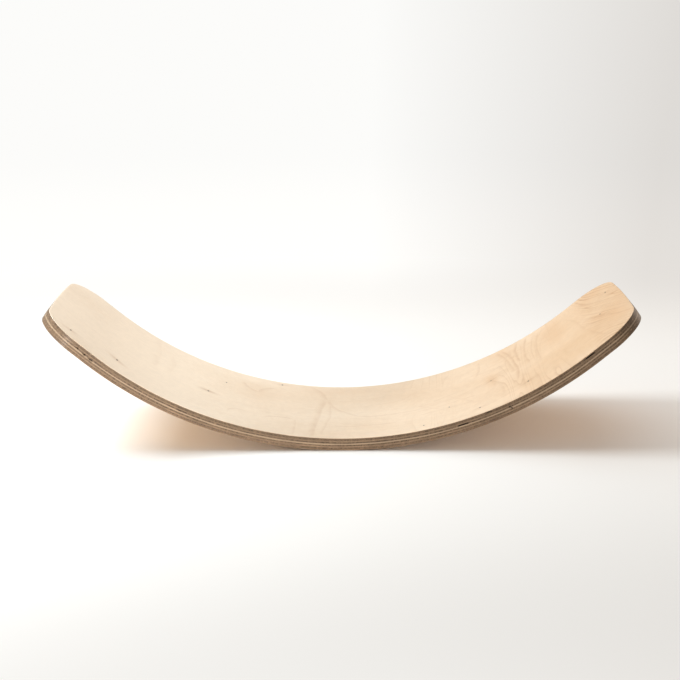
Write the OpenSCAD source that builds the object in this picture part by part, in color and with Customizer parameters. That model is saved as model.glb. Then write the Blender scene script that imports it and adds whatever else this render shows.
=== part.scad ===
// Curved balance board: nine veneer plies glued and pressed in one bent mould.
// X runs along the board, Y across it, Z is up. The origin is the point on the floor
// under the middle of the board, where the underside touches it at rest.

/* [Board] */
// Width across the board, side to side
board_w = 300; // [240:5:360]
// Radius of the face that is stood on, over the curved middle
inner_r = 562; // [480:2:640]
// Angle from the middle of the board to the end of the curve
bend_angle = 39.4; // [39:0.2:46]
// Length of each flat end beyond the curve
flat_len = 84; // [76:1:120]

/* [Outline] */
// Radius of the four corners
corner_r = 58; // [40:1:66]
// How far the middle of each end bows outward
end_bow = 5; // [2:0.5:8]

/* [Plies] */
// Thickness of one veneer ply
ply_t = 2; // [1.5:0.1:2.2]

/* [Joints within plies] */
// Gap at the front edge between two sheets of a crossband
joint_open = 15; // [6:1:20]
// The same gap at the back edge
joint_shut = 1; // [0.4:0.2:4]
// Length of the glued scarf in the centre ply
scarf_len = 16; // [10:1:24]

/* [Hidden] */
$fn = 240;
ply_count = 9;
axis_z = inner_r + ply_count * ply_t; // height of the line that the plies bend around
reach = 2 * axis_z; // longer than the board

// Plan of a flat end: an arc that bows outward meets the sides in corner arcs.
half_w = board_w / 2;
bow_r = half_w * half_w / (2 * end_bow);
bow_x = flat_len - bow_r;
corner_y = half_w - corner_r;
corner_x = bow_x + sqrt(pow(bow_r - corner_r, 2) - pow(corner_y, 2));
corner_angle = atan2(corner_y, corner_x - bow_x);
corner_end = [bow_x + bow_r * cos(corner_angle), bow_r * sin(corner_angle)];

// Where the sheets of one ply meet, measured along the face that is stood on.
crossband_1_joint = 378;
crossband_2_joint = 174;
scarf_place = 100;
scarf_overrun = 0.5; // the scarf's slope goes on this far past both faces of its ply

birch = [0.93, 0.83, 0.70];
end_grain = [0.66, 0.53, 0.39];

// Angle around the bend at a distance along the face that is stood on.
function bend_at(place) = place / inner_r * 180 / PI;

// Plan of one flat end, with x from the end of the curve towards the tip.
module end_plan() {
    difference() {
        intersection() {
            translate([0, -half_w]) square([flat_len, board_w]);
            translate([bow_x, 0]) circle(r = bow_r);
        }
        for (side = [0, 1]) mirror([0, side]) difference() {
            polygon([
                [corner_x, corner_y], [corner_x, board_w],
                [2 * flat_len, board_w], [2 * flat_len, corner_end.y], corner_end
            ]);
            translate([corner_x, corner_y]) circle(r = corner_r);
        }
    }
}

// A quarter of the ring that a ply bends along, below and left of the axis.
module quarter_ring(r) {
    rotate([90, 0, 0]) translate([0, 0, -half_w]) linear_extrude(board_w) difference() {
        intersection() {
            circle(r = r + ply_t);
            translate([-reach, -reach]) square([reach, reach]);
        }
        circle(r = r);
    }
}

// The right half of a ply: its flat end and the curve back to the middle of the board.
module half_ply(r) {
    intersection() {
        rotate([0, -bend_angle, 0]) {
            translate([0, 0, -r - ply_t]) linear_extrude(ply_t) end_plan();
            quarter_ring(r);
        }
        translate([0, -board_w, -reach]) cube([reach, 2 * board_w, 2 * reach]);
    }
}

// One whole ply. Ply 0 is the face that is stood on.
module ply(number) {
    r = inner_r + number * ply_t;
    translate([0, 0, axis_z]) {
        half_ply(r);
        mirror([1, 0, 0]) half_ply(r);
    }
}

// Half the width of a joint's gap at a place across the board.
function half_gap(y) = (joint_open + joint_shut) / 4 - (joint_open - joint_shut) * y / (2 * board_w);

// All the space on one side (-1 left, 1 right) of a gap that narrows from front to back.
module beside_joint(place, side) {
    translate([0, 0, axis_z]) rotate([0, -bend_at(place), 0]) translate([0, 0, -reach])
        linear_extrude(2 * reach) polygon([
            [side * half_gap(-board_w), -board_w],
            [side * half_gap(board_w), board_w],
            [side * reach, board_w],
            [side * reach, -board_w]
        ]);
}

// All the space on one side of the scarf, which slopes through the centre ply.
module beside_scarf(side) {
    r = inner_r + 4 * ply_t;
    run = scarf_len * (0.5 + scarf_overrun / ply_t);
    translate([0, 0, axis_z]) rotate([0, -bend_at(scarf_place), 0]) rotate([90, 0, 0])
        translate([0, 0, -board_w]) linear_extrude(2 * board_w) polygon([
            [-run, -reach],
            [-run, -r - ply_t - scarf_overrun],
            [run, -r + scarf_overrun],
            [run, reach],
            [side * reach, reach],
            [side * reach, -reach]
        ]);
}

module long_ply(number) {
    color(birch) ply(number);
}

module crossband(number) {
    color(end_grain) ply(number);
}

module crossband_sheet(number, joint, side) {
    color(end_grain) intersection() {
        ply(number);
        beside_joint(joint, side);
    }
}

module centre_sheet(side) {
    color(birch) intersection() {
        ply(4);
        beside_scarf(side);
    }
}

long_ply(0);  // face_veneer_top
crossband_sheet(1, crossband_1_joint, -1);  // crossband_1_left
crossband_sheet(1, crossband_1_joint, 1);  // crossband_1_right
long_ply(2);  // long_ply_upper
crossband_sheet(3, crossband_2_joint, -1);  // crossband_2_left
crossband_sheet(3, crossband_2_joint, 1);  // crossband_2_right
centre_sheet(-1);  // centre_ply_left
centre_sheet(1);  // centre_ply_right
crossband(5);  // crossband_3
long_ply(6);  // long_ply_lower
crossband(7);  // crossband_4
long_ply(8);  // face_veneer_bottom
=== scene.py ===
import math

import bpy
import numpy as np
from mathutils import Matrix, Vector


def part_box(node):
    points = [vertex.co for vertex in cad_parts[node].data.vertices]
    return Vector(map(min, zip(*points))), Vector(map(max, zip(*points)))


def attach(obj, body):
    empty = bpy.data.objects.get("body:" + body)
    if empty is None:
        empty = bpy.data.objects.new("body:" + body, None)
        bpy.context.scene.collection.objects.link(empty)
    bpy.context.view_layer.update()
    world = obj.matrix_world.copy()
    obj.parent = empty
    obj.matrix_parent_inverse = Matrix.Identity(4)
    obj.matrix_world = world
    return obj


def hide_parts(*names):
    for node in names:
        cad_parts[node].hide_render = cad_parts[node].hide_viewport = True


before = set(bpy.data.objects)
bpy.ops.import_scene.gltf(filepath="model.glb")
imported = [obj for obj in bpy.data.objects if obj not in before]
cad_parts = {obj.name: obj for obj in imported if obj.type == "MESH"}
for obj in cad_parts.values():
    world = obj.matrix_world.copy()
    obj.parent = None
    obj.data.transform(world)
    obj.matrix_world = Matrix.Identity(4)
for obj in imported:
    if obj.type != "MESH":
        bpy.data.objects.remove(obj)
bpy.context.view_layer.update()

print("frame loaded")

# The board's curve and outline, in metres and degrees. The frame gives its width and plies.
board = {
    "deckRadius": 0.562,     # radius of the face that is stood on
    "bendAngle": 39.4,       # from the middle of the board to the end of the curve
    "flatLength": 0.084,     # flat end beyond the curve
    "cornerRadius": 0.058,
    "endBow": 0.005,         # how far an end bows outward in its middle
    "plies": 9,
}
topLow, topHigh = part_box("face_veneer_top")
bottomLow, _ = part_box("face_veneer_bottom")
halfWidth = topHigh[1]
plyThickness = (topLow[2] - bottomLow[2]) / (board["plies"] - 1)
boardThickness = board["plies"] * plyThickness
deckRadius = board["deckRadius"]
axisHeight = deckRadius + boardThickness
bendAngle = math.radians(board["bendAngle"])
curveLength = deckRadius * bendAngle

# An end's arc and the corner arcs touch where their shared radius line crosses them.
cornerRadius = board["cornerRadius"]
bowRadius = halfWidth ** 2 / (2 * board["endBow"])
bowCentre = board["flatLength"] - bowRadius
cornerAcross = halfWidth - cornerRadius
cornerCentre = bowCentre + math.sqrt((bowRadius - cornerRadius) ** 2 - cornerAcross ** 2)
cornerAngle = math.atan2(cornerAcross, cornerCentre - bowCentre)
cornerStart = bowRadius * math.sin(cornerAngle)


def bendToShape(along, across, depth):
    # Over the curve a point turns about the axis by its distance along over the deck's radius,
    # and past the curve it carries straight on along the tangent.
    side = np.sign(along)
    past = np.maximum(np.abs(along) - curveLength, 0)
    turn = side * np.minimum(np.abs(along), curveLength) / deckRadius
    radius = deckRadius + depth
    x = radius * np.sin(turn) + past * side * np.cos(turn)
    z = axisHeight - radius * np.cos(turn) + past * np.abs(np.sin(turn))
    return np.stack([x, across + 0 * x, z], -1)


def endReach(across):
    # Distance from the end of the curve to the tip: the end's arc, or the corner's near the sides.
    y = np.abs(across)
    bow = bowCentre + np.sqrt(bowRadius ** 2 - y ** 2)
    corner = cornerCentre + np.sqrt(np.maximum(cornerRadius ** 2 - (y - cornerAcross) ** 2, 0))
    return np.where(y < cornerStart, bow, corner)


# How the plies lie in the press, and how their cut edges are finished.
pressing = {
    "waver": 0.00011,        # how far a glue line strays from its even place
    "arris": 0.0008,         # rounding of the two outer edges
    "glueBevel": 0.00009,    # tiny bevel that sanding leaves at each glue line
    "crossRecess": 0.00005,  # end grain is sanded a little deeper
    "seed": 40,
    # How light each ply's wood is, from the deck down.
    "tones": (0.88, 0.98, 1.14, 0.98, 1.66, 1.05, 1.24, 1.08, 1.12),
}


def glueLine(number, along, across):
    # Even spacing plus three slow sine waves, which fade to nothing at the two faces.
    draw = np.random.default_rng(pressing["seed"] + number)
    phase = draw.uniform(0, 2 * np.pi, 3)
    tilt = draw.uniform(-6, 6, 3)
    waves = sum(np.sin(2 * np.pi * along / length + phase[k] + tilt[k] * across)
                for k, length in enumerate((0.41, 0.17, 0.071)))
    inside = 0 < number < board["plies"]
    return number * plyThickness + inside * pressing["waver"] * waves


# How fine the meshes are, in metres between columns along the board and rows across it.
meshing = {
    "column": 0.0045,
    "faceRow": 0.006,        # rows of the two outer faces
    "innerRow": 0.02,        # rows of the faces between plies, which are hidden
    "cornerRows": 21,        # rows around each corner's arc
    "endMargin": 0.003,      # columns start to lean this far inside an end's line
}


def rowPlaces(spacing):
    # Rows across the board: even in the middle, then by even turns around each corner's arc.
    turns = np.linspace(cornerAngle, np.pi / 2, meshing["cornerRows"] + 1)[1:]
    outer = cornerAcross + cornerRadius * np.sin(turns)
    middle = np.linspace(-cornerStart, cornerStart, int(2 * cornerStart / spacing) + 1)
    return np.concatenate([-outer[::-1], middle, outer])


def planGrid(rowSpacing, leftEnd, rightEnd, extras):
    # Plan of a sheet: straight columns in the middle, and columns that lean into each end's line.
    spacing, margin = meshing["column"], meshing["endMargin"]
    across = rowPlaces(rowSpacing)
    left, right = leftEnd(across), rightEnd(across)
    zoneLeft, zoneRight = left.max() + margin, right.min() - margin
    middle = np.linspace(zoneLeft, zoneRight, int((zoneRight - zoneLeft) / spacing) + 2)
    extras = extras[(extras > zoneLeft) & (extras < zoneRight)]
    middle = np.unique(np.round(np.concatenate([middle, extras]), 5))
    lean = np.linspace(0, 1, int((zoneLeft - left.min()) / spacing) + 3)[1:, None]
    leanLeft = zoneLeft + (left - zoneLeft) * lean[::-1]
    lean = np.linspace(0, 1, int((right.max() - zoneRight) / spacing) + 3)[1:, None]
    leanRight = zoneRight + (right - zoneRight) * lean
    along = np.vstack([leanLeft, np.repeat(middle[:, None], len(across), 1), leanRight])
    return along, np.repeat(across[None, :], len(along), 0)


def edgeProfile(number):
    # Steps down a ply's edge as inset and depth: a quarter round on an outer face, else a bevel.
    bevel, arris = pressing["glueBevel"], pressing["arris"]
    quarter = np.linspace(0, np.pi / 2, 6)
    rounded = np.stack([arris * (1 - np.sin(quarter)), arris * (1 - np.cos(quarter))], 1)
    bevelled = np.array([[bevel, 0], [0, bevel]])
    upper = rounded if number == 0 else bevelled
    lower = rounded if number == board["plies"] - 1 else bevelled
    lower = (lower * [1, -1] + [0, plyThickness])[::-1]
    flat = np.linspace(upper[-1, 1], lower[0, 1], 5)[1:-1]
    return np.vstack([upper, np.stack([0 * flat, flat], 1), lower])


# Flaws in the front edge: place along the board, depth below the deck, length, height and
# how deep each is.
edgeFlaws = {
    "slitUnderDeck": (0.2136, 0.0021, 0.0080, 0.0013, 0.0018),
    "centreCheck": (0.2444, 0.0070, 0.0024, 0.0028, 0.0018),
    "checkWing": (0.2480, 0.0068, 0.0014, 0.0018, 0.0010),
    "checkTail": (0.2464, 0.0096, 0.0016, 0.0024, 0.0010),
    "leftKnotA": (-0.403, 0.0062, 0.0030, 0.0016, 0.0012),
    "leftKnotB": (-0.390, 0.0078, 0.0048, 0.0017, 0.0013),
    "leftKnotC": (-0.379, 0.0083, 0.0070, 0.0013, 0.0012),
    "leftSpeck": (-0.235, 0.0077, 0.0040, 0.0013, 0.0008),
    "middleSpeck": (-0.026, 0.0074, 0.0034, 0.0012, 0.0007),
    "rightSpeck": (0.437, 0.0072, 0.0022, 0.0016, 0.0008),
}
flawPlaces = np.concatenate([
    place + length * np.linspace(-1.1, 1.1, 9) for place, _, length, _, _ in edgeFlaws.values()])


def flawAt(along, across, depth):
    # Sum of soft oval dents in the front edge, one for each flaw: how far in, and a mask of it.
    pushed, mask = 0, 0
    for place, level, length, height, deep in edgeFlaws.values():
        oval = np.exp(-((along - place) * 2 / length) ** 4 - ((depth - level) * 2 / height) ** 4)
        oval = oval * (across < -0.98 * halfWidth)
        pushed, mask = pushed + deep * oval, np.maximum(mask, oval)
    return pushed, mask


# Where sheets of one ply meet, as the frame has them: the joint gapes at the front edge.
joints = {
    "crossband_1": 0.378,
    "crossband_2": 0.174,
    "scarf": 0.100,
    "open": 0.015,           # gap at the front edge
    "shut": 0.001,           # gap at the back edge
    "scarfLength": 0.016,
    "scarfGap": 0.0005,
    "scarfReach": 0.03,      # the lean fades to nothing this far from the scarf
}


def scarfLean(along, share):
    # The centre ply's sheets meet on a slope, so close to it each level shifts along the board.
    near = np.clip(1 - np.abs(along - joints["scarf"]) / joints["scarfReach"], 0, 1)
    return joints["scarfLength"] * near * (0.5 - share)


def makePly(name, node, number, leftEnd, rightEnd, rowSpacing, materials):
    # A closed sheet: its upper plan grid, bands down the edge profile around its outline, and
    # its lower grid. A band's point is the outline's, moved in by the profile's inset.
    along, across = planGrid(rowSpacing, leftEnd, rightEnd, flawPlaces)
    columns, rows = along.shape
    index = np.arange(columns * rows).reshape(columns, rows)
    loop = np.concatenate([index[:-1, 0], index[-1, :-1], index[:0:-1, -1], index[0, :0:-1]])
    outline = np.stack([along.ravel()[loop], across.ravel()[loop]], 1)
    tangent = np.roll(outline, -1, 0) - np.roll(outline, 1, 0)
    outward = np.stack([tangent[:, 1], -tangent[:, 0]], 1)
    outward /= np.linalg.norm(outward, axis=1, keepdims=True)

    crossband = number % 2 == 1
    endGrain = np.abs(outward[:, 1 if crossband else 0])
    profile = edgeProfile(number)
    steps = len(profile)
    inset = profile[:, :1] + crossband * pressing["crossRecess"]
    pushed, mask = flawAt(outline[None, :, 0], outline[None, :, 1],
                          number * plyThickness + profile[:, 1:])
    centrePly = number == board["plies"] // 2
    onScarf = centrePly * np.isclose(outline[:, 0], joints["scarf"], atol=1e-6)
    inset = inset + onScarf * joints["scarfGap"] / 2
    ring = outline[None] - (inset + pushed)[..., None] * outward[None]
    share = profile[:, 1:] / plyThickness
    ring[..., 0] += centrePly * scarfLean(ring[..., 0], share)
    upper = glueLine(number, ring[..., 0], ring[..., 1])
    lower = glueLine(number + 1, ring[..., 0], ring[..., 1])
    ringDepth = upper + (lower - upper) * share

    plan = np.stack([along.ravel(), across.ravel()], 1)
    faces = []
    for level, step in ((0, 0), (1, -1)):
        flat = plan.copy()
        flat[:, 0] += centrePly * scarfLean(flat[:, 0], level)
        flat[loop] = ring[step]
        depth = glueLine(number + level, flat[:, 0], flat[:, 1])
        cut = np.zeros((len(flat), 3))
        cut[:, 2] = level
        cut[loop, 0], cut[loop, 1] = endGrain, mask[step]
        faces.append((np.column_stack([flat, depth]), cut))
    bands = np.dstack([ring, ringDepth])[1:-1].reshape(-1, 3)
    bandCut = np.stack(np.broadcast_arrays(endGrain[None], mask, share), -1)[1:-1].reshape(-1, 3)
    grain = np.vstack([faces[0][0], bands, faces[1][0]])
    cut = np.vstack([faces[0][1], bandCut, faces[1][1]])

    first = columns * rows
    last = first + (steps - 2) * len(loop)
    ringIndex = np.vstack([loop, first + np.arange((steps - 2) * len(loop)).reshape(-1, len(loop)),
                           last + loop])
    quads = np.stack([index[:-1, :-1], index[1:, :-1], index[1:, 1:], index[:-1, 1:]], -1)
    quads = quads.reshape(-1, 4)
    after = np.roll(ringIndex, -1, 1)
    bandQuads = np.stack([ringIndex[:-1], ringIndex[1:], after[1:], after[:-1]], -1)
    slots = np.full(bandQuads.shape[:2], 1)
    # Painted highlight: the deck veneer's rounded arris takes the pale deck material instead of
    # the cut-edge look, so a bright line runs along the top edge.
    if number == 0:
        slots[:4] = 0
    if number == board["plies"] - 1:
        slots[-1:] = 2
    allQuads = np.vstack([quads, bandQuads.reshape(-1, 4), last + quads[:, ::-1]])
    slots = np.concatenate([np.zeros(len(quads), int), slots.ravel(), np.full(len(quads), 2)])

    mesh = bpy.data.meshes.new(name)
    points = bendToShape(grain[:, 0], grain[:, 1], grain[:, 2])
    mesh.from_pydata(points.tolist(), [], allQuads.tolist())
    for label, values in (("grain", grain), ("cut", cut)):
        layer = mesh.attributes.new(label, "FLOAT_VECTOR", "POINT")
        layer.data.foreach_set("vector", values.astype(np.float32).ravel())
    tone = mesh.attributes.new("plyTone", "FLOAT", "POINT")
    tone.data.foreach_set("value", np.full(len(points), pressing["tones"][number], np.float32))
    for material in materials:
        mesh.materials.append(material)
    mesh.polygons.foreach_set("material_index", slots.astype(np.int32))
    mesh.polygons.foreach_set("use_smooth", np.ones(len(allQuads), bool))
    mesh.set_sharp_from_angle(angle=math.radians(40))
    mesh.update()
    piece = bpy.data.objects.new(name, mesh)
    bpy.context.scene.collection.objects.link(piece)
    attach(piece, "root")
    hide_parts(node)


def addNode(tree, kind, inputs=None, **settings):
    # Adds a shader node, sets its properties, and links or sets each named or numbered input.
    node = tree.nodes.new("ShaderNode" + kind)
    for name, value in settings.items():
        setattr(node, name, value)
    for key, value in (inputs or {}).items():
        if isinstance(value, bpy.types.NodeSocket):
            tree.links.new(value, node.inputs[key])
        else:
            node.inputs[key].default_value = value
    return node


def calc(tree, operation, *values, clamp=False):
    inputs = dict(enumerate(values))
    return addNode(tree, "Math", inputs, operation=operation, use_clamp=clamp).outputs[0]


def ramp(tree, value, low, high, outLow=0.0, outHigh=1.0, smooth=True):
    kind = "SMOOTHSTEP" if smooth else "LINEAR"
    inputs = {"Value": value, "From Min": low, "From Max": high,
              "To Min": outLow, "To Max": outHigh}
    return addNode(tree, "MapRange", inputs, interpolation_type=kind).outputs[0]


def blend(tree, factor, first, second, how="MIX"):
    inputs = {0: factor, 6: first, 7: second}
    return addNode(tree, "Mix", inputs, data_type="RGBA", blend_type=how).outputs[2]


def between(tree, factor, first, second):
    return addNode(tree, "Mix", {0: factor, 2: first, 3: second}).outputs[0]


def shaded(tree, colour, tone):
    # A colour, each part of it multiplied by one value.
    shade = addNode(tree, "CombineXYZ", {0: tone, 1: tone, 2: tone}).outputs[0]
    return blend(tree, 1.0, colour, shade, "MULTIPLY")


def stretched(tree, vector, scale):
    return addNode(tree, "VectorMath", {0: vector, 1: scale}, operation="MULTIPLY").outputs[0]


def noise(tree, vector, scale, detail=2.0, roughness=0.5, distortion=0.0, seed=0.0):
    # Four-dimensional noise, so that a seed moves the whole pattern.
    inputs = {"Vector": stretched(tree, vector, scale), "W": seed, "Scale": 1.0,
              "Detail": detail, "Roughness": roughness, "Distortion": distortion}
    return addNode(tree, "TexNoise", inputs, noise_dimensions="4D").outputs[0]


def makeGroup(name, inputs, outputs):
    tree = bpy.data.node_groups.new(name, "ShaderNodeTree")
    for label, kind, value in inputs:
        socket = tree.interface.new_socket(label, in_out="INPUT", socket_type="NodeSocket" + kind)
        if kind != "Vector":
            socket.default_value = value
    for label, kind in outputs:
        tree.interface.new_socket(label, in_out="OUTPUT", socket_type="NodeSocket" + kind)
    return tree, tree.nodes.new("NodeGroupInput").outputs, tree.nodes.new("NodeGroupOutput").inputs


def useGroup(tree, group, inputs):
    return addNode(tree, "Group", inputs, node_tree=group).outputs


def buildFigure():
    # Rotary-cut figure: contour lines of a slow noise stretched along the grain, each rising
    # slowly and falling sharply, with fibres, pores and broad changes of tone.
    tree, given, out = makeGroup("birchFigure", [
        ("Grain", "Vector", None), ("Stretch", "Vector", None), ("Seed", "Float", 0.0),
        ("Lines", "Float", 8.0)],
        [("Rings", "Float"), ("Tone", "Float"), ("Fibre", "Float"), ("Pores", "Float"),
         ("Mottle", "Float")])
    grain, seed = given["Grain"], given["Seed"]
    drawn = stretched(tree, grain, given["Stretch"])
    slow = noise(tree, drawn, (1.0, 1.0, 0.0), 2.2, 0.42, 0.35, seed)
    phase = calc(tree, "FRACT", calc(tree, "MULTIPLY", slow, given["Lines"]))
    rise = calc(tree, "POWER", phase, 5.0)
    fall = ramp(tree, phase, 0.94, 1.0, 1.0, 0.0)
    fade = ramp(tree, noise(tree, grain, (5.0, 7.0, 0.0), 1.0, 0.5, 0.0,
                            calc(tree, "ADD", seed, 3.1)), 0.36, 0.64)
    tree.links.new(calc(tree, "MULTIPLY", calc(tree, "MULTIPLY", rise, fall), fade), out["Rings"])
    tree.links.new(noise(tree, grain, (2.6, 5.5, 0.0), 3.0, 0.5, 0.0,
                         calc(tree, "ADD", seed, 7.7)), out["Tone"])
    fibre = noise(tree, grain, (26.0, 900.0, 0.0), 3.0, 0.6, 0.0, calc(tree, "ADD", seed, 1.3))
    tree.links.new(fibre, out["Fibre"])
    pore = noise(tree, grain, (420.0, 5200.0, 0.0), 1.0, 0.4, 0.0, calc(tree, "ADD", seed, 5.9))
    tree.links.new(ramp(tree, pore, 0.66, 0.74), out["Pores"])
    mottle = noise(tree, grain, (95.0, 60.0, 0.0), 3.0, 0.62, 0.6, calc(tree, "ADD", seed, 9.2))
    tree.links.new(mottle, out["Mottle"])
    return tree


def buildKnot():
    # A pin knot: a dark oval core, and a soft halo drawn out along the grain.
    tree, given, out = makeGroup("pinKnot", [
        ("Grain", "Vector", None), ("Along", "Float", 0.0), ("Across", "Float", 0.0),
        ("Size", "Float", 0.002), ("Halo", "Float", 0.0), ("Slant", "Float", 0.0)],
        [("Core", "Float"), ("Halo", "Float")])
    axes = addNode(tree, "SeparateXYZ", {0: given["Grain"]}).outputs
    along = calc(tree, "SUBTRACT", axes[0], given["Along"])
    across = calc(tree, "SUBTRACT", axes[1], given["Across"])
    across = calc(tree, "SUBTRACT", across, calc(tree, "MULTIPLY", along, given["Slant"]))

    def oval(stretchAlong, stretchAcross):
        a = calc(tree, "DIVIDE", along, calc(tree, "MULTIPLY", given["Size"], stretchAlong))
        b = calc(tree, "DIVIDE", across, calc(tree, "MULTIPLY", given["Size"], stretchAcross))
        return calc(tree, "ADD", calc(tree, "MULTIPLY", a, a), calc(tree, "MULTIPLY", b, b))

    core = ramp(tree, oval(0.95, 1.9), 0.3, 1.0, 1.0, 0.0)
    soft = calc(tree, "EXPONENT", calc(tree, "MULTIPLY", oval(7.0, 2.6), -1.0))
    tree.links.new(core, out["Core"])
    tree.links.new(calc(tree, "MULTIPLY", soft, given["Halo"]), out["Halo"])
    return tree


def buildVein():
    # A ring's line: distance from a bowed chord, as a mask that is sharper on one side, softer on
    # the other, and fades at both ends.
    tree, given, out = makeGroup("veinLine", [
        ("Grain", "Vector", None), ("Start Along", "Float", 0.0), ("Start Across", "Float", 0.0),
        ("Run Along", "Float", 0.1), ("Run Across", "Float", 0.0), ("Bow", "Float", 0.0),
        ("Width", "Float", 0.002), ("Strength", "Float", 1.0)], [("Mask", "Float")])
    axes = addNode(tree, "SeparateXYZ", {0: given["Grain"]}).outputs
    a = calc(tree, "SUBTRACT", axes[0], given["Start Along"])
    b = calc(tree, "SUBTRACT", axes[1], given["Start Across"])
    runA, runB = given["Run Along"], given["Run Across"]
    square = calc(tree, "ADD", calc(tree, "MULTIPLY", runA, runA),
                  calc(tree, "MULTIPLY", runB, runB))
    dot = calc(tree, "ADD", calc(tree, "MULTIPLY", a, runA), calc(tree, "MULTIPLY", b, runB))
    share = calc(tree, "DIVIDE", dot, square)
    crossed = calc(tree, "SUBTRACT", calc(tree, "MULTIPLY", b, runA),
                   calc(tree, "MULTIPLY", a, runB))
    off = calc(tree, "DIVIDE", crossed, calc(tree, "SQRT", square))
    hump = calc(tree, "MULTIPLY", calc(tree, "MULTIPLY", share, 4.0),
                calc(tree, "SUBTRACT", 1.0, share))
    off = calc(tree, "SUBTRACT", off, calc(tree, "MULTIPLY", hump, given["Bow"]))
    steep = calc(tree, "MULTIPLY", calc(tree, "GREATER_THAN", off, 0.0), 1.5)
    away = calc(tree, "MULTIPLY", calc(tree, "DIVIDE", off, given["Width"]),
                calc(tree, "ADD", steep, 0.7))
    line = calc(tree, "EXPONENT", calc(tree, "MULTIPLY", calc(tree, "MULTIPLY", away, away), -1.0))
    fadeIn = ramp(tree, share, -0.06, 0.12)
    fadeOut = ramp(tree, share, 0.88, 1.06, 1.0, 0.0)
    mask = calc(tree, "MULTIPLY", calc(tree, "MULTIPLY", line, fadeIn), fadeOut)
    tree.links.new(calc(tree, "MULTIPLY", mask, given["Strength"]), out["Mask"])
    return tree


# Tints that every cut edge shares.
edgeTints = {
    "paleWood": (0.37, 0.285, 0.195, 1.0),   # what a very light ply turns towards
    "glue": (0.12, 0.075, 0.045, 1.0),
    # Near-black tint: the knots' own dark wood, and painted shade inside the slit and checks.
    "flawAndShade": (0.035, 0.02, 0.012, 1.0),
}


def buildEdge():
    # A sanded plywood edge: streaks along the grain where it runs with the cut, turning to
    # dark speckled end grain where the cut crosses it, with a thin line at each glue film.
    tree, given, out = makeGroup("plyEdge", [
        ("Grain", "Vector", None), ("Cut", "Vector", None), ("Stretch", "Vector", None),
        ("Tone", "Float", 1.0), ("Seed", "Float", 0.0),
        ("Long Colour", "Color", (0.5, 0.4, 0.3, 1.0)),
        ("End Colour", "Color", (0.3, 0.2, 0.1, 1.0))],
        [("Colour", "Color"), ("Height", "Float"), ("Roughness", "Float")])
    grain, seed = given["Grain"], given["Seed"]
    endGrain, flawAndShade, share = addNode(tree, "SeparateXYZ", {0: given["Cut"]}).outputs
    streakAt = stretched(tree, grain, given["Stretch"])
    streak = noise(tree, streakAt, (1.0, 1.0, 1.0), 3.0, 0.6, 0.0, seed)
    speckle = noise(tree, grain, (1500.0, 1500.0, 1100.0), 2.0, 0.6, 0.0, seed)
    rays = noise(tree, grain, (360.0, 360.0, 90.0), 2.0, 0.55, 0.0, calc(tree, "ADD", seed, 2.0))
    patch = noise(tree, grain, (22.0, 22.0, 60.0), 2.0, 0.5, 0.0, calc(tree, "ADD", seed, 4.0))
    crossing = ramp(tree, endGrain, 0.12, 0.85)
    longTone = ramp(tree, streak, 0.34, 0.66, 0.74, 1.2)
    endTone = calc(tree, "MULTIPLY", ramp(tree, speckle, 0.32, 0.68, 0.8, 1.14),
                   ramp(tree, rays, 0.34, 0.66, 0.72, 1.2))
    tone = between(tree, crossing, longTone, endTone)
    tick = noise(tree, grain, (430.0, 430.0, 520.0), 2.0, 0.7, 0.0, calc(tree, "ADD", seed, 6.0))
    tickTone = between(tree, crossing, ramp(tree, tick, 0.34, 0.66, 0.84, 1.14),
                       ramp(tree, tick, 0.34, 0.66, 0.62, 1.28))
    tone = calc(tree, "MULTIPLY", tone, tickTone)
    tone = calc(tree, "MULTIPLY", tone, ramp(tree, patch, 0.3, 0.7, 0.88, 1.1))
    tone = calc(tree, "MULTIPLY", tone, given["Tone"])
    colour = blend(tree, crossing, given["Long Colour"], given["End Colour"])
    colour = shaded(tree, colour, tone)
    paleShare = ramp(tree, given["Tone"], 1.25, 1.7, 0.0, 0.45, False)
    colour = blend(tree, paleShare, colour, edgeTints["paleWood"])
    fromMiddle = calc(tree, "ABSOLUTE", calc(tree, "SUBTRACT", share, 0.5))
    glue = ramp(tree, calc(tree, "MULTIPLY", fromMiddle, 2.0), 0.80, 0.98, 0.0, 0.55)
    colour = blend(tree, glue, colour, edgeTints["glue"])
    # Partly painted shade: the near-black tint fills the slit and checks as the shade inside them,
    # and darkens the knots as their own wood.
    flawAndShadeShare = calc(tree, "MULTIPLY", flawAndShade, 0.85, clamp=True)
    colour = blend(tree, flawAndShadeShare, colour, edgeTints["flawAndShade"])
    tree.links.new(colour, out["Colour"])
    height = between(tree, crossing, streak, calc(tree, "MULTIPLY", speckle, 1.6))
    tree.links.new(height, out["Height"])
    tree.links.new(ramp(tree, height, 0.2, 1.2, 0.5, 0.68, False), out["Roughness"])
    return tree


figureGroup = buildFigure()
knotGroup = buildKnot()
veinGroup = buildVein()
edgeGroup = buildEdge()
print("node groups built")


def newMaterial(name, roughness, coat):
    material = bpy.data.materials.new(name)
    material.use_nodes = True
    tree = material.node_tree
    shader = tree.nodes["Principled BSDF"]
    shader.inputs["Roughness"].default_value = roughness
    shader.inputs["Coat Weight"].default_value = coat
    shader.inputs["Coat Roughness"].default_value = 0.28
    shader.inputs["IOR"].default_value = 1.5
    grain = addNode(tree, "Attribute", attribute_name="grain").outputs["Vector"]
    return material, tree, shader, grain


def roughened(tree, shader, height, distance, strength):
    bump = addNode(tree, "Bump", {"Height": height, "Distance": distance, "Strength": strength})
    tree.links.new(bump.outputs[0], shader.inputs["Normal"])


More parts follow.
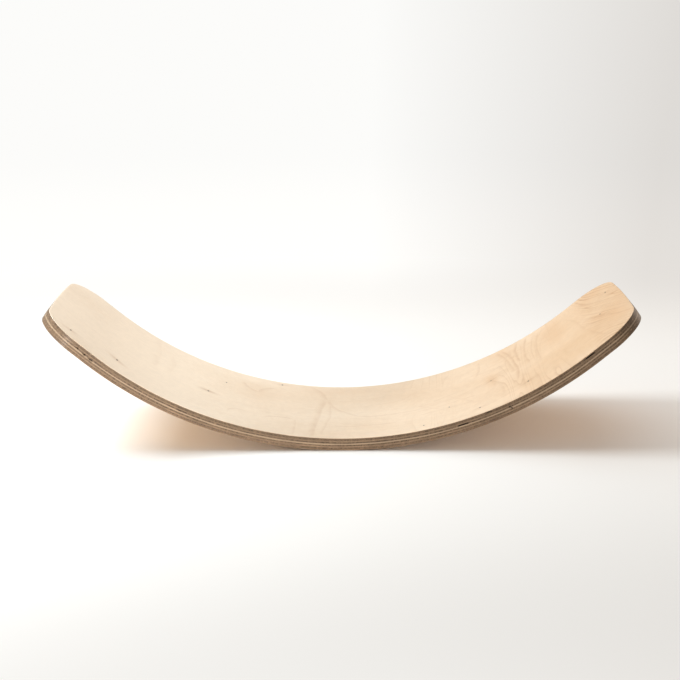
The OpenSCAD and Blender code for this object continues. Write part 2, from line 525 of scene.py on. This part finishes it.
# The face that is stood on. Knots are: along, across, size, halo and the halo's slant.
deckLook = {
    # The pale colour, which the left end takes, is partly painted glare: it is set lighter than
    # the wood to stand for light flooding that end.
    "pale": (0.90, 0.76, 0.60, 1.0),
    "warm": (0.625, 0.425, 0.25, 1.0),
    "line": (0.43, 0.22, 0.085, 1.0),
    "knot": (0.10, 0.055, 0.032, 1.0),
    "patch": (0.60, 0.36, 0.18, 1.0),
    "seed": 2.6,
    "lines": 9.0,
    # Warmer patches are: along, across, reach along and across, strength.
    "patches": [
        (0.350, 0.080, 0.018, 0.070, 0.40), (0.432, 0.115, 0.030, 0.040, 0.38),
        (0.440, -0.045, 0.032, 0.055, 0.36), (0.290, -0.125, 0.026, 0.030, 0.30),
        (0.233, 0.000, 0.010, 0.030, 0.42), (0.262, 0.120, 0.030, 0.045, 0.26),
        (0.472, 0.030, 0.012, 0.080, 0.30), (-0.130, 0.060, 0.030, 0.060, 0.12),
        (-0.020, 0.120, 0.060, 0.030, 0.14)],
    "knots": [
        (-0.426, -0.118, 0.0018, 0.55, 0.2), (-0.347, -0.097, 0.0021, 0.75, -0.4),
        (-0.205, -0.017, 0.0019, 1.00, -0.1), (-0.182, 0.066, 0.0015, 0.15, 0.0),
        (-0.095, 0.134, 0.0018, 0.45, 0.0), (0.119, -0.127, 0.0013, 0.10, 0.0),
        (0.161, -0.063, 0.0014, 0.15, 0.0), (0.204, -0.118, 0.0016, 0.55, 0.2),
        (0.232, 0.000, 0.0013, 0.90, 0.6), (0.283, -0.094, 0.0019, 0.80, 0.3),
        (0.424, -0.009, 0.0014, 0.50, 0.0), (0.450, 0.075, 0.0018, 0.30, 0.0)],
    # Curls are where rings run across the board: place along, how far they reach, strength.
    "curls": [(0.290, 0.080, 0.62), (0.437, 0.056, 1.0), (0.140, 0.060, 0.25)],
    # Ring lines are: start along and across, run along and across, bow, width, strength.
    "veins": [
        (-0.044, 0.146, 0.024, -0.082, 0.004, 0.0040, 0.50),
        (-0.022, 0.070, -0.017, -0.218, -0.004, 0.0046, 0.60),
        (-0.016, 0.070, -0.010, -0.200, 0.003, 0.0024, 0.40),
        (-0.020, 0.066, 0.046, -0.102, -0.009, 0.0030, 0.50),
        (0.020, -0.034, 0.100, 0.000, -0.004, 0.0024, 0.52),
        (-0.012, -0.080, 0.090, -0.006, -0.003, 0.0019, 0.57),
        (-0.156, 0.100, 0.026, -0.040, -0.004, 0.0034, 0.52),
        (-0.132, 0.060, 0.026, 0.046, 0.006, 0.0032, 0.52),
        (-0.170, -0.084, 0.030, 0.020, 0.010, 0.0022, 0.46),
        (-0.116, -0.072, 0.044, 0.012, 0.008, 0.0022, 0.69),
        (-0.070, -0.062, -0.002, -0.086, 0.002, 0.0023, 0.46),
        (-0.300, 0.050, 0.008, -0.060, 0.006, 0.0050, 0.26),
        (-0.304, 0.140, 0.012, -0.110, 0.003, 0.0050, 0.20),
        (-0.272, 0.090, 0.006, -0.090, 0.004, 0.0050, 0.22),
        (0.229, 0.004, 0.018, -0.098, 0.008, 0.0028, 0.60),
        (0.224, 0.130, -0.014, -0.080, 0.003, 0.0024, 0.57),
        (0.256, 0.140, 0.014, -0.150, 0.003, 0.0026, 0.80),
        (0.264, 0.140, 0.008, -0.200, 0.008, 0.0026, 1.09),
        (0.290, 0.140, -0.004, -0.110, -0.004, 0.0026, 1.03),
        (0.306, 0.140, -0.010, -0.150, -0.003, 0.0024, 0.86),
        (0.328, 0.130, -0.012, -0.160, -0.004, 0.0024, 0.69),
        (0.166, -0.010, 0.036, -0.072, 0.002, 0.0028, 0.35),
        (0.114, -0.016, 0.034, -0.040, 0.002, 0.0023, 0.40),
        (0.122, -0.030, 0.080, 0.006, 0.004, 0.0024, 0.45),
        (0.112, -0.047, 0.092, 0.002, 0.005, 0.0024, 0.50),
        (0.116, -0.066, 0.078, -0.004, 0.004, 0.0024, 0.40),
        (0.136, -0.012, 0.050, 0.016, 0.004, 0.0024, 0.35),
        (0.404, 0.140, 0.018, -0.070, -0.003, 0.0023, 1.03),
        (0.420, 0.070, 0.040, -0.030, 0.003, 0.0024, 0.69),
        (0.432, -0.026, 0.034, -0.070, -0.004, 0.0024, 0.98),
        (0.396, -0.046, 0.026, -0.086, -0.003, 0.0024, 0.69),
        (0.374, 0.100, 0.016, -0.140, 0.006, 0.0024, 0.46)],
}


# What the two faces share. Stretch is how fast the figure changes along and across the board.
facing = {
    "stretch": (3.4, 8.5, 0.0),
    "crossStretch": (21.0, 1.9, 0.0),   # for rings that cross the board
    "crossLines": 2.2,       # how many more of those rings there are
    "crossSeed": 20.0,
    "wander": 0.020,         # how widely the veins stray
    "veinShare": 0.36,
    "poreShare": 0.22,
    "haloShare": 0.5,
    "coreShare": 0.92,
    "bump": 0.00004,
}


def makeDeckMaterial(name, look):
    # Pale veneer, warmer towards the right end, crossed by rings, veins and pin knots. On the deck
    # the paler left end is partly painted light: the pale colour is set lighter than the wood to
    # stand for glare flooding that end.
    material, tree, shader, grain = newMaterial(name, 0.42, 0.22)
    axes = addNode(tree, "SeparateXYZ", {0: grain}).outputs
    figure = useGroup(tree, figureGroup, {
        "Grain": grain, "Stretch": facing["stretch"], "Seed": look["seed"],
        "Lines": look["lines"]})
    # Rings that cross the board lean over towards its right end.
    lean = calc(tree, "MULTIPLY", ramp(tree, axes[0], 0.33, 0.43, -0.05, 0.65), axes[1])
    leaning = addNode(tree, "CombineXYZ", {0: calc(tree, "ADD", axes[0], lean), 1: axes[1],
                                           2: 0.0}).outputs[0]
    crossFigure = useGroup(tree, figureGroup, {
        "Grain": leaning, "Stretch": facing["crossStretch"],
        "Seed": look["seed"] + facing["crossSeed"],
        "Lines": look["lines"] * facing["crossLines"]})
    # Paler towards the left end: partly the wood's own change of colour, partly painted glare on
    # that end.
    warmth = calc(tree, "ADD", ramp(tree, axes[0], -0.25, 0.47, -0.05, 1.0, False),
                  ramp(tree, figure["Tone"], 0.3, 0.7, -0.18, 0.22))
    warmth = calc(tree, "ADD", warmth, ramp(tree, figure["Mottle"], 0.3, 0.7, -0.05, 0.05))
    warmth = calc(tree, "MAXIMUM", warmth, 0.0, clamp=True)
    colour = blend(tree, warmth, look["pale"], look["warm"])
    blush = 0.0
    for along, across, reachAlong, reachAcross, strength in look["patches"]:
        away = addNode(tree, "VectorMath", {0: grain, 1: (along, across, 0.0)},
                       operation="SUBTRACT").outputs[0]
        away = stretched(tree, away, (1 / reachAlong, 1 / reachAcross, 0.0))
        away = addNode(tree, "VectorMath", {0: away}, operation="LENGTH").outputs["Value"]
        blush = calc(tree, "MAXIMUM", ramp(tree, away, 0.0, 1.7, strength, 0.0), blush)
    blush = calc(tree, "MULTIPLY", blush, ramp(tree, crossFigure["Mottle"], 0.3, 0.7, 0.6, 1.2))
    colour = blend(tree, blush, colour, look["patch"])

    # Rings are faint along the middle, and run across the board at its right end.
    ringShare = ramp(tree, axes[0], -0.20, 0.30, 0.03, 0.22)
    ringMask = calc(tree, "MULTIPLY", figure["Rings"], ringShare)
    crossShare = 0.02
    for place, reach, strength in look["curls"]:
        away = calc(tree, "ABSOLUTE", calc(tree, "SUBTRACT", axes[0], place))
        crossShare = calc(tree, "MAXIMUM", ramp(tree, away, reach * 0.4, reach, strength, 0.0),
                          crossShare)
    crossMask = calc(tree, "MULTIPLY", crossFigure["Rings"], crossShare)
    lineMask = calc(tree, "MAXIMUM", ringMask, crossMask)

    # Slow wandering is shared by all the veins, so that none is a clean arc.
    wander = noise(tree, grain, (13.0, 9.0, 0.0), 3.0, 0.5, 0.0, look["seed"])
    wander = calc(tree, "MULTIPLY", calc(tree, "SUBTRACT", wander, 0.5), facing["wander"])
    shift = addNode(tree, "CombineXYZ", {0: wander, 1: wander, 2: 0.0}).outputs[0]
    wandered = addNode(tree, "VectorMath", {0: grain, 1: shift}, operation="ADD").outputs[0]
    veinKeys = ("Start Along", "Start Across", "Run Along", "Run Across", "Bow", "Width",
                "Strength")
    for vein in look["veins"]:
        mask = useGroup(tree, veinGroup, dict(zip(veinKeys, vein), Grain=wandered))["Mask"]
        mask = calc(tree, "MULTIPLY", mask, facing["veinShare"])
        lineMask = calc(tree, "MAXIMUM", lineMask, mask)
    broken = ramp(tree, figure["Mottle"], 0.3, 0.65, 0.78, 1.05)
    lineMask = calc(tree, "MULTIPLY", lineMask, broken, clamp=True)
    colour = blend(tree, lineMask, colour, look["line"])

    fibreTone = calc(tree, "MULTIPLY", ramp(tree, figure["Fibre"], 0.3, 0.7, 0.955, 1.03),
                     ramp(tree, crossFigure["Mottle"], 0.3, 0.7, 0.98, 1.02))
    colour = shaded(tree, colour, fibreTone)
    poreMask = calc(tree, "MULTIPLY", figure["Pores"], facing["poreShare"])
    colour = blend(tree, poreMask, colour, look["line"])

    core, halo = 0.0, 0.0
    knotKeys = ("Along", "Across", "Size", "Halo", "Slant")
    for knot in look["knots"]:
        masks = useGroup(tree, knotGroup, dict(zip(knotKeys, knot), Grain=grain))
        core = calc(tree, "MAXIMUM", masks["Core"], core)
        halo = calc(tree, "MAXIMUM", masks["Halo"], halo)
    halo = calc(tree, "MULTIPLY", halo, facing["haloShare"])
    colour = blend(tree, halo, colour, look["line"])
    core = calc(tree, "MULTIPLY", core, facing["coreShare"])
    colour = blend(tree, core, colour, look["knot"])
    tree.links.new(colour, shader.inputs["Base Color"])

    height = calc(tree, "SUBTRACT", figure["Fibre"], calc(tree, "MULTIPLY", figure["Pores"], 0.8))
    tree.links.new(ramp(tree, figure["Fibre"], 0.3, 0.7, 0.38, 0.47), shader.inputs["Roughness"])
    roughened(tree, shader, height, facing["bump"], 0.35)
    return material


undersideLook = {
    "pale": (0.66, 0.465, 0.285, 1.0),
    "warm": (0.62, 0.405, 0.23, 1.0),
    "line": (0.46, 0.30, 0.17, 1.0),
    "knot": (0.15, 0.09, 0.05, 1.0),
    "patch": (0.58, 0.36, 0.19, 1.0),
    "seed": 17.3,
    "lines": 11.0,
    "patches": [(-0.210, 0.050, 0.080, 0.050, 0.25), (0.250, -0.070, 0.090, 0.040, 0.30)],
    "knots": [
        (-0.392, 0.052, 0.0019, 0.60, 0.2), (-0.271, -0.094, 0.0016, 0.35, 0.0),
        (-0.118, 0.021, 0.0021, 0.80, -0.2), (0.064, -0.112, 0.0015, 0.30, 0.0),
        (0.176, 0.088, 0.0018, 0.55, 0.3), (0.305, -0.031, 0.0020, 0.70, 0.0),
        (0.418, 0.104, 0.0015, 0.25, 0.0)],
    "curls": [(-0.310, 0.090, 0.30), (0.120, 0.070, 0.35)],
    "veins": [
        (-0.330, -0.120, 0.140, 0.030, 0.012, 0.0028, 0.50),
        (-0.300, -0.090, 0.120, 0.016, 0.014, 0.0026, 0.40),
        (-0.060, 0.110, 0.180, -0.026, -0.014, 0.0030, 0.55),
        (0.210, -0.060, 0.150, 0.050, 0.010, 0.0028, 0.45)],
}

# Cut edges. Stretch is how fine the streaks are along the board, across it and through it.
edgeLooks = {
    "longPlyEdge": {"long": (0.190, 0.124, 0.073, 1.0), "end": (0.150, 0.096, 0.056, 1.0),
                    "stretch": (30.0, 1400.0, 1500.0)},
    "crossPlyEdge": {"long": (0.180, 0.117, 0.069, 1.0), "end": (0.148, 0.094, 0.055, 1.0),
                     "stretch": (1400.0, 38.0, 2300.0)},
}


def makeEdgeMaterial(name, seed):
    look = edgeLooks[name]
    material, tree, shader, grain = newMaterial(name, 0.55, 0.12)
    shader.inputs["Specular IOR Level"].default_value = 0.25
    cut = addNode(tree, "Attribute", attribute_name="cut").outputs["Vector"]
    tone = addNode(tree, "Attribute", attribute_name="plyTone").outputs["Fac"]
    edge = useGroup(tree, edgeGroup, {
        "Grain": grain, "Cut": cut, "Stretch": look["stretch"], "Tone": tone, "Seed": seed,
        "Long Colour": look["long"], "End Colour": look["end"]})
    tree.links.new(edge["Colour"], shader.inputs["Base Color"])
    tree.links.new(edge["Roughness"], shader.inputs["Roughness"])
    roughened(tree, shader, edge["Height"], 0.00007, 0.6)
    return material


# Wood inside the glue lines, seen only down an open joint. Its near-black colour is painted shade:
# the birch is pale, and the dark stands for the shade deep inside the joint.
shadedCoreLook = {
    "light": (0.09, 0.055, 0.03, 1.0),
    "dark": (0.05, 0.03, 0.018, 1.0),
    "seed": 31.0,
    "lines": 7.0,
}


def makeShadedCoreMaterial(name):
    material, tree, shader, grain = newMaterial(name, 0.7, 0.0)
    figure = useGroup(tree, figureGroup, {
        "Grain": grain, "Stretch": facing["stretch"], "Seed": shadedCoreLook["seed"],
        "Lines": shadedCoreLook["lines"]})
    # Painted shade: the inner faces are coloured near black for the shade inside an open joint.
    colour = blend(tree, figure["Tone"], shadedCoreLook["light"], shadedCoreLook["dark"])
    tree.links.new(colour, shader.inputs["Base Color"])
    roughened(tree, shader, figure["Fibre"], 0.00005, 0.5)
    return material


deckMaterial = makeDeckMaterial("lacqueredDeckBirch", deckLook)
undersideMaterial = makeDeckMaterial("lacqueredUndersideBirch", undersideLook)
longEdge = makeEdgeMaterial("longPlyEdge", 3.0)
crossEdge = makeEdgeMaterial("crossPlyEdge", 8.0)
shadedCoreMaterial = makeShadedCoreMaterial("shadedCoreBirch")
print("materials built")


def tipLeft(across):
    return -curveLength - endReach(across)


def tipRight(across):
    return curveLength + endReach(across)


def besideJoint(name, side):
    # The gap closes evenly from the front edge to the back edge.
    def line(across):
        share = (across + halfWidth) / (2 * halfWidth)
        gap = joints["open"] + (joints["shut"] - joints["open"]) * share
        return joints[name] + side * gap / 2
    return line


def scarfLine(across):
    return joints["scarf"] + 0 * across


# Each ply's materials are: upper face, cut edge and lower face.
longMaterials = [shadedCoreMaterial, longEdge, shadedCoreMaterial]
crossMaterials = [shadedCoreMaterial, crossEdge, shadedCoreMaterial]
innerRow = meshing["innerRow"]
makePly("deckVeneer", "face_veneer_top", 0, tipLeft, tipRight, meshing["faceRow"],
        [deckMaterial, longEdge, shadedCoreMaterial])
for number, name in ((2, "long_ply_upper"), (6, "long_ply_lower")):
    makePly(name + "_wood", name, number, tipLeft, tipRight, innerRow, longMaterials)
for number, name in ((5, "crossband_3"), (7, "crossband_4")):
    makePly(name + "_wood", name, number, tipLeft, tipRight, innerRow, crossMaterials)
for number, name in ((1, "crossband_1"), (3, "crossband_2")):
    makePly(name + "_left_wood", name + "_left", number, tipLeft, besideJoint(name, -1),
            innerRow, crossMaterials)
    makePly(name + "_right_wood", name + "_right", number, besideJoint(name, 1), tipRight,
            innerRow, crossMaterials)
makePly("centre_ply_left_wood", "centre_ply_left", 4, tipLeft, scarfLine, innerRow,
        longMaterials)
makePly("centre_ply_right_wood", "centre_ply_right", 4, scarfLine, tipRight, innerRow,
        longMaterials)
makePly("undersideVeneer", "face_veneer_bottom", 8, tipLeft, tipRight, meshing["faceRow"],
        [shadedCoreMaterial, longEdge, undersideMaterial])
print("plies built")

studio = {
    "floorColour": (0.905, 0.892, 0.875, 1.0),
    "floorRadius": 200.0,
    "firstRing": 0.25,       # radius of the floor's innermost ring of points
    "ringGrowth": 1.35,      # each ring's radius over the last one's
    "rings": 24,
    "spokes": 64,
    "fadeFrom": 0.6,         # the floor turns from lit to evenly glowing between these distances
    "fadeTo": 1.5,
    "glowLeft": (0.975, 0.972, 0.955, 1.0),
    "glowRight": (0.735, 0.71, 0.68, 1.0),
    "glowNear": (1.07, 1.06, 1.05, 1.0),
    "nearFrom": 0.8,         # the near floor's extra glow fades out between these distances
    "nearTo": 4.0,
    "sky": 0.435,
    "skyColour": (1.0, 0.93, 0.86, 1.0),
    # Lamps are: place, aim, width, height, power, colour, and spread in degrees.
    "lamps": {
        "keyLight": ((-1.15, 0.10, 1.15), (0.05, 0.0, 0.05), 0.75, 0.45, 21.0,
                     (0.90, 0.97, 1.0), 180),
        "topLight": ((-0.02, 0.62, 1.68), (0.0, 0.0, 0.0), 2.0, 2.0, 13.0, (0.97, 0.99, 1.0),
                     180),
        "backLight": ((1.90, 1.10, 0.26), (-0.3, 0.0, 0.08), 1.2, 0.3, 16.0,
                      (1.0, 0.90, 0.80), 180),
        "sideLight": ((-1.10, -1.20, 0.06), (-0.20, -0.15, 0.08), 0.4, 0.10, 3.0,
                      (1.0, 0.98, 0.96), 60),
    },
}


def makeFloor():
    # A flat disc: rings of points around the middle, each radius a fixed multiple of the last,
    # up to the floor's radius.
    spokes = studio["spokes"]
    radii = studio["firstRing"] * studio["ringGrowth"] ** np.arange(studio["rings"])
    radii = np.minimum(radii, studio["floorRadius"])
    turn = np.linspace(0, 2 * np.pi, spokes, endpoint=False)
    x = radii[:, None] * np.cos(turn)
    y = radii[:, None] * np.sin(turn)
    points = np.stack([x, y, 0 * x], -1).reshape(-1, 3)
    index = np.arange(len(points)).reshape(len(radii), spokes)
    after = np.roll(index, -1, 1)
    quads = np.stack([index[:-1], index[1:], after[1:], after[:-1]], -1).reshape(-1, 4)
    mesh = bpy.data.meshes.new("floor")
    mesh.from_pydata(points.tolist(), [], quads.tolist() + [index[0].tolist()])
    floor = bpy.data.objects.new("floor", mesh)
    bpy.context.scene.collection.objects.link(floor)
    material = bpy.data.materials.new("paleFloor")
    material.use_nodes = True
    tree = material.node_tree
    shader = tree.nodes["Principled BSDF"]
    shader.inputs["Base Color"].default_value = studio["floorColour"]
    shader.inputs["Roughness"].default_value = 0.9
    shader.inputs["Specular IOR Level"].default_value = 0.2
    place = addNode(tree, "TexCoord").outputs["Object"]
    distance = addNode(tree, "VectorMath", {0: place}, operation="LENGTH").outputs["Value"]
    axes = addNode(tree, "SeparateXYZ", {0: place}).outputs
    sideways = calc(tree, "DIVIDE", axes[0], calc(tree, "ADD", distance, 2.0))
    glowColour = blend(tree, ramp(tree, sideways, 0.02, 0.2, smooth=False),
                       studio["glowLeft"], studio["glowRight"])
    nearer = blend(tree, 1.0, glowColour, studio["glowNear"], "MULTIPLY")
    nearShare = ramp(tree, distance, studio["nearFrom"], studio["nearTo"])
    glowColour = blend(tree, nearShare, nearer, glowColour)
    glow = addNode(tree, "Emission", {"Color": glowColour, "Strength": 1.0})
    mixed = addNode(tree, "MixShader", {
        0: ramp(tree, distance, studio["fadeFrom"], studio["fadeTo"]),
        1: shader.outputs[0], 2: glow.outputs[0]})
    tree.links.new(mixed.outputs[0], tree.nodes["Material Output"].inputs["Surface"])
    mesh.materials.append(material)


def makeSky():
    # Even soft light from all round, seen by the camera as plain white.
    world = bpy.data.worlds.new("studioSky")
    world.use_nodes = True
    tree = world.node_tree
    background = tree.nodes["Background"]
    seen = addNode(tree, "LightPath").outputs["Is Camera Ray"]
    strength = between(tree, seen, studio["sky"], 1.0)
    colour = blend(tree, seen, studio["skyColour"], (1.0, 1.0, 1.0, 1.0))
    tree.links.new(strength, background.inputs["Strength"])
    tree.links.new(colour, background.inputs["Color"])
    bpy.context.scene.world = world


def makeLamps():
    for name, (place, aim, width, height, power, colour, spread) in studio["lamps"].items():
        lamp = bpy.data.lights.new(name, "AREA")
        lamp.shape = "RECTANGLE"
        lamp.size = width
        lamp.size_y = height
        lamp.energy = power
        lamp.color = colour
        lamp.spread = math.radians(spread)
        lampObject = bpy.data.objects.new(name, lamp)
        lampObject.location = place
        away = Vector(aim) - Vector(place)
        lampObject.rotation_euler = away.to_track_quat("-Z", "Y").to_euler()
        bpy.context.scene.collection.objects.link(lampObject)


camera = {
    "place": (0.0, -2.473, 0.6775),
    "yaw": 0.001,
    "pitch": 0.2183,         # radians below level
    "roll": -0.0031,
    "lens": 89.2,
}


def makeCamera():
    # The view turns by yaw, then looks down by pitch, then rolls about its own line of sight.
    yaw, pitch, roll = camera["yaw"], camera["pitch"], camera["roll"]
    ahead = Vector((-math.sin(yaw) * math.cos(pitch), math.cos(yaw) * math.cos(pitch),
                    -math.sin(pitch)))
    level = Vector((math.cos(yaw), math.sin(yaw), 0))
    upward = level.cross(ahead)
    right = math.cos(roll) * level + math.sin(roll) * upward
    up = math.cos(roll) * upward - math.sin(roll) * level
    lens = bpy.data.cameras.new("camera")
    lens.lens = camera["lens"]
    lens.sensor_width = 36
    view = bpy.data.objects.new("camera", lens)
    turn = Matrix((right, up, -ahead)).transposed().to_4x4()
    view.matrix_world = Matrix.Translation(camera["place"]) @ turn
    bpy.context.scene.collection.objects.link(view)
    bpy.context.scene.camera = view


makeFloor()
makeSky()
makeLamps()
makeCamera()
bpy.context.scene.view_settings.view_transform = "Standard"
print("studio built")

bpy.context.view_layer.update()
